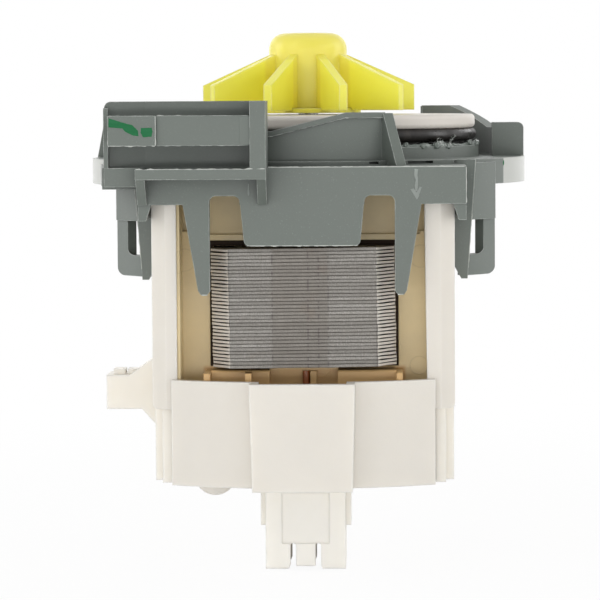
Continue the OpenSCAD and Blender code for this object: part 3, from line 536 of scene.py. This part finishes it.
def sheet_outline():
    """One lamination seen from above: a U whose legs end in the rotor's bore, front edge towards -Y."""
    right = [(0, CORE_FRONT), (SHEET_FOLD, CORE_FRONT), (CORE_HALF, CORE_FRONT + SHEET_CUT),
             (CORE_HALF, CORE_BACK), (POLE_HALF_GAP, CORE_BACK)]
    pts = []
    for a, b, step in zip(right, right[1:], (1.2, 0.9, 5.8, 4.0)):
        pts += between(a, b, step)
    arc_parts = 24
    start, end = math.acos(POLE_HALF_GAP / BORE_R), -math.acos(LEG_INNER / BORE_R)
    for i in range(arc_parts + 1):
        angle = start + (end - start) * i / arc_parts
        pts.append(BORE_R * Vector((math.cos(angle), math.sin(angle))))
    middle = Vector((0, YOKE_BACK))
    pts += between((LEG_INNER, YOKE_BACK), middle, 3.3)
    return pts + [middle] + [Vector((-p.x, p.y)) for p in reversed(pts[1:])]


def sheet_point(p, move, k, share):
    """A point on the edge of sheet k, moved in its plane and a share of the thickness up, with its waves."""
    corner = max(0.0, min(1.0, (abs(p.x) - SHEET_FOLD) / 0.6))
    thick = SHEET_THICK - 0.1 * corner
    wave = 0.05 * ripple(p.x * 0.14, p.y * 0.05, k * 0.31)
    lift = (0.03 + 0.05 * corner) * ripple(p.x * 0.5, p.y * 0.1, k * 7.7)
    back = 0.06 * (1 + ripple(p.x * 0.9, 3.0, k * 5.3))
    x, y = p + move
    z = SHEET_LOW + k * SHEET_PITCH + (SHEET_PITCH - thick) / 2 + share * thick
    return x, y + back, z + p.x * SHEET_SLOPE + wave + lift


def lamination_stack():
    """Punched sheets, each a little out of line and thinner at its cut corners, with gaps between them."""
    lean, jitter, set_back, burr = 0.4, 0.07, 0.1, 0.07
    profile = ((0.0, burr), (0.12, 0.0), (0.88, 0.0), (1.0, burr))
    outline = sheet_outline()
    before, after = outline[-1:] + outline[:-1], outline[1:] + outline[:1]
    inward = [Vector((a.y - b.y, b.x - a.x)).normalized() for a, b in zip(before, after)]
    bm = bmesh.new()
    for k in range(SHEETS):
        sideways = lean * (0.5 - k / (SHEETS - 1)) + rng.uniform(-jitter, jitter)
        shift = Vector((sideways, rng.uniform(0.0, set_back)))
        skin(bm, [[sheet_point(p, n * inset + shift, k, share) for p, n in zip(outline, inward)]
                  for share, inset in profile])
    obj = piece("lamination_stack", bm, "pump", steel)
    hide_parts("stator_core")


def varnish_film():
    """Varnish in the gaps between the sheets, just behind their front edges and short of the cut corners."""
    margin, front, back, parts = 0.35, CORE_FRONT + 0.3, CORE_FRONT + 1.2, 40
    half = SHEET_FOLD - margin
    low, top = SHEET_LOW + margin, SHEET_LOW + SHEETS * SHEET_PITCH - margin
    rows = []
    for i in range(parts + 1):
        x = half * (2 * i / parts - 1)
        y = front + 0.05 * ripple(x * 0.7, 8.0, 0.0)
        rise = x * SHEET_SLOPE
        rows.append([(x, y, low + rise), (x, y, top + rise), (x, back, top + rise), (x, back, low + rise)])
    bm = bmesh.new()
    skin(bm, rows)
    piece("varnish_film", bm, "pump", film)


def window_gap_shadow():
    """A dark frame in the gap between the stack and the tan frame round it, as painted shadow."""
    back, outer_front, inner_front, parts = -36.3, -36.75, -36.8, 48
    outer, inner = (17.73, -38.83, -14.92), (17.2, -38.1, -15.9)
    rings = []
    for y, (half, low, top) in ((back, outer), (outer_front, outer), (inner_front, inner), (back, inner)):
        turns = [Vector(c) for c in ((-half, low), (half, low), (half, top), (-half, top))]
        pts = [a.lerp(b, i / parts) for a, b in zip(turns, turns[1:] + turns[:1]) for i in range(parts)]
        rings.append([(p.x, y + 0.08 * ripple(p.x, p.y, 2.0), p.y) for p in pts])
    bm = bmesh.new()
    skin(bm, rings, closed=True)
    piece("window_gap_shadow", bm, "pump", gap_shadow_material)


def former_foot():
    """The former's foot: a step in the tan moulding under the stack, on both sides of its middle block."""
    inner, outer = 6.35, 17.3
    back, front, low, top = -36.9, -42.6, -42.2, -38.95
    profile = [(back, low), (front, low), (front, -39.3), (-42.45, -39.05), (-42.2, top), (back, top)]
    bm = bmesh.new()
    for start, end in ((-outer, -inner), (inner, outer)):
        rows = []
        for p in between((start, 0), (end, 0), 0.8) + [Vector((end, 0))]:
            sag = 0.05 * ripple(p.x * 0.3, 5.0, 0.0)
            rows.append([(p.x, y + sag, z + sag) for y, z in profile])
        skin(bm, rows)
    piece("former_foot", bm, "pump", tan)


# Moulding flash on the grey edges. A fin's root lies this deep in its edge, in mm.
ROOT = 0.05


def fin(bm, a, b, out, height, seed, keep=0.75):
    """A ragged fin from a to b, standing out along a direction, on about a share keep of its length."""
    thick, step = 0.05, 0.35
    a, b, out = Vector(a), Vector(b), Vector(out).normalized()
    side = (b - a).cross(out).normalized() * thick
    rows = []
    for i, p in enumerate(between(a, b, step) + [b]):
        t = 0.5 + 0.9 * ripple(i * 0.31, seed, 0.0) + 0.35 * ripple(i * 1.3, seed, 4.0)
        h = height * max(0.12, min(1.0, t)) if t > 0.8 - keep else height * 0.1
        rows.append((p - side - out * ROOT, p + side - out * ROOT, p + out * h))
    skin(bm, rows)


def shelf_fins(bm):
    """On the shelf and the post of the latch box, and on the cheek beside the shelf."""
    y, z = BOX_FRONT + ROOT, SHELF_TOP - ROOT
    left, right = SHELF_LEFT + 0.02, POST_RIGHT - 0.1
    fin(bm, (SHELF_LEFT + 0.1, y, z), (right, y, z), (0, -0.6, 1), 0.32, 1.0)
    fin(bm, (left, BOX_FRONT + 0.4, z - ROOT), (left, SKIRT_FRONT - 0.6, -7.2), (-1, -0.4, 0), 0.16, 2.0)
    top = BOX_TOP - 0.1
    fin(bm, (POST_LEFT + 0.3, y, top), (right, y, top), (0, -0.7, 0.7), 0.12, 7.0)
    y, z = CHEEK_FRONT + ROOT, DECK_TOP - ROOT
    fin(bm, (-36.3, y, z), (-30.9, y, z), (0, -1, 0.4), 0.18, 6.0)


def skirt_fins(bm):
    """On the skirt's top and right edge, under its tab and fingers, and on the two legs."""
    y, z = SKIRT_FRONT, DECK_TOP - ROOT
    right = SKIRT_RIGHT - 0.02
    fin(bm, (POST_RIGHT + 0.2, y, z), (SKIRT_RIGHT - 0.4, y, z), (0, -0.5, 1), 0.24, 3.0)
    fin(bm, (right, y, DECK_TOP - 0.2), (right, y, SKIRT_LOW + 0.2), (0.7, -0.7, 0), 0.2, 4.0, 0.95)
    y, z, half = SKIRT_FRONT + 0.02, TAB_LOW + 0.1, TAB_HALF - 0.6
    fin(bm, (-half, y, z), (half, y, z), (0, -0.3, -1), 0.22, 8.0, 0.45)
    z = FINGER_LOW + ROOT
    for left, right, seed in ((-18.6, -17.6, 9.0), (17.6, 18.6, 10.0)):
        fin(bm, (left, y, z), (right, y, z), (0, -0.2, -1), 0.35, seed, 0.9)
    y, low = LEG_FRONT, -20.5
    fin(bm, (32.45, y, -0.2), (31.05, y, low), (0.8, -0.6, 0), 0.16, 5.0, 0.95)
    fin(bm, (-32.3, y, -4.0), (-31.05, y, low), (-0.8, -0.6, 0), 0.16, 5.5, 0.95)


def ramp_fins(bm):
    """Under the bead of the front ramp, which rises from its foot to its crest."""
    (foot_x, foot_z), (crest_x, crest_z) = RAMP_FOOT, RAMP_CREST
    r = RAMP_BEAD_R + 0.02
    xs = (-20.3, foot_x, crest_x, 15.2)
    zs = (foot_z, foot_z, crest_z, crest_z)
    ends = [(x, -math.sqrt(r * r - x * x), z) for x, z in zip(xs, zs)]
    for a, b in zip(ends, ends[1:]):
        fin(bm, a, b, (0, -1, -0.6), 0.2, 20.0 + a[0])


def rim_fins(bm):
    """Round the top edge of the flange, at the front right and on the left."""
    start, step = Vector((FLANGE_R - 0.1, 0, 0)), 4
    for first, last in ((-44, -6), (186, 214)):
        for angle in range(first, last, step):
            a, b = (Matrix.Rotation(math.radians(d), 3, "Z") @ start for d in (angle, angle + step))
            fin(bm, a, b, (a.x, a.y, 30), 0.14, 40.0 + angle)


def latch_fins(bm):
    """Round the latch bar's thick end, and along the bar."""
    low, top = BAR_LOW + ROOT, BAR_TOP - ROOT
    y, left, right = PAD_FRONT + ROOT, PAD_LEFT + 2 * ROOT, PAD_RIGHT - 2 * ROOT
    fin(bm, (left, y, low), (right, y, low), (0, -0.4, -1), 0.26, 11.0)
    fin(bm, (left, y, top), (right, y, top), (0, -0.4, 1), 0.16, 15.0, 0.95)
    for x, out, seed in ((PAD_RIGHT + ROOT, 0.8, 12.0), (PAD_LEFT + ROOT, -0.8, 16.0)):
        fin(bm, (x, y, low + ROOT), (x, y, top - ROOT), (out, -0.4, 0), 0.16, seed, 0.95)
    y, start = BAR_FRONT + ROOT, PAD_RIGHT + 0.3
    fin(bm, (start, y, top), (-21.4, y, top), (0, -0.4, 1), 0.22, 13.0, 0.95)
    fin(bm, (start, y, low), (-11.2, y, low), (0, -0.4, -1), 0.14, 14.0)


def flash():
    bm = bmesh.new()
    for fins in (shelf_fins, skirt_fins, ramp_fins, rim_fins):
        fins(bm)
    piece("plate_flash", bm, "pump", flash_grey)
    bm = bmesh.new()
    latch_fins(bm)
    piece("latch_flash", bm, "latch", flash_grey)


# Marks on the faces that look towards -Y, drawn in X and Z
def decal(bm, outline, y, lift=0.05):
    """A thin raised patch on the face at y, its outline a little uneven."""
    pts = []
    for a, b in zip(outline, outline[1:] + outline[:1]):
        pts += between(a, b, 0.3)
    centre = sum(pts, Vector((0, 0))) / len(pts)
    rings = []
    for depth, grow in ((0.02, 0.0), (-lift * 0.6, -0.02), (-lift, -0.1)):
        ring = []
        for p in pts:
            uneven = 0.09 * ripple(p.x * 2.4, p.y * 2.4, 1.0)
            q = p + (p - centre).normalized() * (grow + uneven)
            ring.append((q.x, y + depth, q.y))
        rings.append(ring)
    skin(bm, rings)


def green_mark():
    """Two strokes of green paint on the latch bar's thick end."""
    long_stroke = [(-35.0, 8.3), (-32.7, 7.6), (-30.7, 7.05), (-29.6, 6.0), (-29.5, 5.0), (-30.5, 5.1),
                   (-31.9, 5.8), (-32.5, 6.4), (-35.0, 6.65)]
    short_stroke = [(-29.1, 6.5), (-27.1, 6.55), (-26.95, 5.8), (-27.1, 4.9), (-28.7, 4.8), (-29.15, 5.6)]
    bm = bmesh.new()
    decal(bm, long_stroke, PAD_FRONT)
    decal(bm, short_stroke, PAD_FRONT)
    piece("green_mark", bm, "latch", green)


def green_dab():
    """A spot of green paint on the right edge of the flange."""
    centre, half_width, half_height = Vector((38.1, -19.95, -0.95)), 0.22, 0.55
    bm = bmesh.new()
    bmesh.ops.create_icosphere(bm, subdivisions=3, radius=1.0)
    for v in bm.verts:
        tall = half_height * (1 + 0.35 * noise.noise(v.co * 1.7))
        v.co = centre + Vector((half_width * v.co.x, half_width * v.co.y, tall * v.co.z))
    piece("green_dab", bm, "pump", green)


def moulded_marks():
    """A plain arrow on the skirt, shaft and head, and a small nick under the latch box."""
    arrow_shaft = [(20.75, -1.3), (21.4, -1.4), (21.3, -2.6), (21.45, -3.1), (21.4, -4.7), (21.25, -5.5),
                   (20.85, -5.4), (20.8, -4.4), (20.95, -3.4), (20.7, -2.6)]
    arrow_head = [(20.0, -5.1), (20.6, -4.9), (21.1, -5.8), (21.7, -4.6), (22.1, -4.7), (21.6, -6.3),
                  (21.2, -7.0), (20.8, -6.5)]
    nick = [(-9.9, -3.9), (-9.7, -3.9), (-9.6, -5.8), (-9.8, -6.2), (-10.0, -5.8)]
    bm = bmesh.new()
    for outline, lift in ((arrow_shaft, 0.08), (arrow_head, 0.08), (nick, 0.06)):
        decal(bm, outline, SKIRT_FRONT, lift)
    piece("moulded_marks", bm, "pump", arrow_grey)


def latch_skin():
    """The face of the moulding running on over the latch bar's root."""
    left, right, low, top = -11.2, POST_LEFT + 0.05, BAR_LOW + 0.1, BAR_TOP - 0.1
    bm = bmesh.new()
    decal(bm, [(left, low), (right, low), (right, top), (left, top)], BAR_FRONT, 0.07)
    piece("latch_skin", bm, "pump", grey_plain)


# Grease pressed out under the seal
BEAD_R = 33.3
BEAD_Z = 2.35
LUMP_ANGLES = (-12, -20, -31, -36, -39, -42, -48, -55, -8, -64, 25, 60, 130, 170, 205, 240)
STRANDS = 6


def grease_bead(bm):
    """An uneven bead on the seat, all the way round."""
    steps = 300
    rings = []
    for i in range(steps):
        around = Matrix.Rotation(math.tau * i / steps, 3, "Z")
        spot = around @ Vector((4.0, 0, 0))
        wide = 0.5 + 0.45 * noise.noise(spot * 2.0) + 0.3 * noise.noise(spot * 6.0)
        drift = 0.3 * noise.noise(spot * 1.3 + Vector((9, 0, 0)))
        centre = Vector((BEAD_R + drift, 0, BEAD_Z))
        rings.append([around @ (centre + q) for q in circle(8, wide)])
    skin(bm, rings, closed=True)


def grease_lump(bm, k, angle):
    """Lump k, drawn out along the bead at an angle round the shaft."""
    r, z = rng.uniform(33.4, 34.0), rng.uniform(2.2, 3.0)
    size = rng.uniform(0.5, 0.9)
    spin = Matrix.Rotation(math.radians(angle), 3, "Z")
    stretch = Matrix.Diagonal((0.7, rng.uniform(0.9, 2.2), rng.uniform(0.6, 1.1))).to_3x3()
    new = bmesh.ops.create_icosphere(bm, subdivisions=3, radius=size)
    for v in new["verts"]:
        lump = 1 + 0.45 * noise.noise(v.co * 2.2 + Vector((k * 3.1, 0, 0)))
        v.co = spin @ (stretch @ (v.co * lump) + Vector((r, 0, z)))


def seal_grease():
    bm = bmesh.new()
    grease_bead(bm)
    for k, angle in enumerate(LUMP_ANGLES):
        grease_lump(bm, k, angle)
    piece("seal_grease", bm, "pump", grease, smooth=True)


def grease_strands():
    """Strands pulled out of the grease at the front right, each tapering to its end."""
    bm = bmesh.new()
    for k in range(STRANDS):
        spin = Matrix.Rotation(math.radians(rng.uniform(-44, -34)), 3, "Z")
        start = Vector((rng.uniform(33.2, 33.8), 0, rng.uniform(2.2, 2.9)))
        path = [start + Vector((0.25 * math.sin(i * 0.9 + k), 0.3 * i * rng.uniform(0.5, 1.3), 0.25 * i))
                for i in range(rng.randint(4, 9))]
        rings = []
        for i, p in enumerate(path):
            wide = 0.24 * (1 - 0.75 * i / len(path))
            rings.append([spin @ (p + q) for q in circle(4, wide)])
        skin(bm, rings)
    piece("grease_strands", bm, "pump", pale_grease, smooth=True)


# Studio, in metres and watts: name, place, target, size and power of each lamp
WORLD_LEVEL = 0.36
FLOOR_HALF = 3.0
FLOOR_DROP = 0.0004
WHITE = (1, 1, 1, 1)
MIDDLE = (0, 0, -0.02)
LAMPS = [
    ("front", (0.05, -0.95, 0.0), MIDDLE, (0.7, 0.5), 0.6),
    ("low", (0.0, -0.5, -0.055), (0, 0, -0.06), (0.7, 0.04), 0.6),
    ("front_left", (-0.74, -0.66, 0.18), MIDDLE, (0.6, 0.7), 1.75),
    ("front_right", (0.76, -0.66, 0.18), MIDDLE, (0.6, 0.7), 1.75),
    ("key", (-0.45, -0.6, 0.60), MIDDLE, (0.6, 0.5), 0.8),
    ("rim_left", (-0.75, 0.15, 0.12), MIDDLE, (0.3, 0.7), 1.9),
    ("rim_right", (0.75, 0.15, 0.12), MIDDLE, (0.3, 0.7), 1.9),
    ("top", (0.0, 0.1, 0.9), MIDDLE, (0.8, 0.8), 1.2),
    ("back", (0.0, 0.95, 0.16), MIDDLE, (1.6, 0.7), 2.6),
]


def seen(tree):
    """1 on rays that show the backdrop: from the camera, in a reflection, through clear stuff."""
    rays = tree.nodes.new("ShaderNodeLightPath").outputs
    shown = rays["Is Camera Ray"]
    for kind in ("Is Glossy Ray", "Is Transmission Ray"):
        either = tree.nodes.new("ShaderNodeMath")
        either.operation = "MAXIMUM"
        tree.links.new(shown, either.inputs[0])
        tree.links.new(rays[kind], either.inputs[1])
        shown = either.outputs[0]
    return shown


def backdrop():
    """A world that looks white and lights the object at a plain level."""
    world = bpy.data.worlds.new("studio")
    scene.world = world
    world.use_nodes = True
    tree = world.node_tree
    back = tree.nodes["Background"]
    back.inputs["Color"].default_value = WHITE
    level = tree.nodes.new("ShaderNodeMapRange")
    level.inputs["To Min"].default_value = WORLD_LEVEL
    level.inputs["To Max"].default_value = 1.0
    tree.links.new(seen(tree), level.inputs["Value"])
    tree.links.new(level.outputs[0], back.inputs["Strength"])


def floor_white():
    """A pale floor that keeps a soft shadow near the object and turns white further out."""
    s = Shader("floor")
    tone = s.mix(s.step(s.noise(3, 3), 0.3, 0.7), srgb(246, 246, 246), srgb(250, 250, 250))
    s.set(Base_Color=tone, Roughness=0.8)
    white = s.add("Emission", {"Color": WHITE, "Strength": 1.0})
    share = s.step(s.vmath("LENGTH", s.place), 0.08, 0.28, 0.94, 1.0)
    blend = s.add("MixShader", {0: s.times(seen(s.tree), share), 1: s.bsdf.outputs[0], 2: white.outputs[0]})
    s.put(s.tree.nodes["Material Output"].inputs["Surface"], blend.outputs[0])
    return s.mat


def make_floor():
    bm = bmesh.new()
    bmesh.ops.create_grid(bm, x_segments=8, y_segments=8, size=FLOOR_HALF)
    bmesh.ops.translate(bm, verts=bm.verts, vec=(0, 0, cad_box[0].z - FLOOR_DROP))
    mesh = bpy.data.meshes.new("floor")
    bm.to_mesh(mesh)
    bm.free()
    mesh.materials.append(floor_white())
    floor = bpy.data.objects.new("floor", mesh)
    scene.collection.objects.link(floor)


def make_lamps():
    for name, place, target, size, power in LAMPS:
        light = bpy.data.lights.new(name, "AREA")
        light.shape = "RECTANGLE"
        light.size, light.size_y = size
        light.energy = power
        obj = bpy.data.objects.new(name, light)
        obj.location = place
        obj.rotation_euler = (Vector(target) - Vector(place)).to_track_quat("-Z", "Y").to_euler()
        scene.collection.objects.link(obj)


scene.view_settings.view_transform = "Standard"
make_camera()
dress_nodes()
lamination_stack()
varnish_film()
window_gap_shadow()
former_foot()
flash()
green_mark()
green_dab()
moulded_marks()
seal_grease()
grease_strands()
latch_skin()
backdrop()
make_floor()
make_lamps()
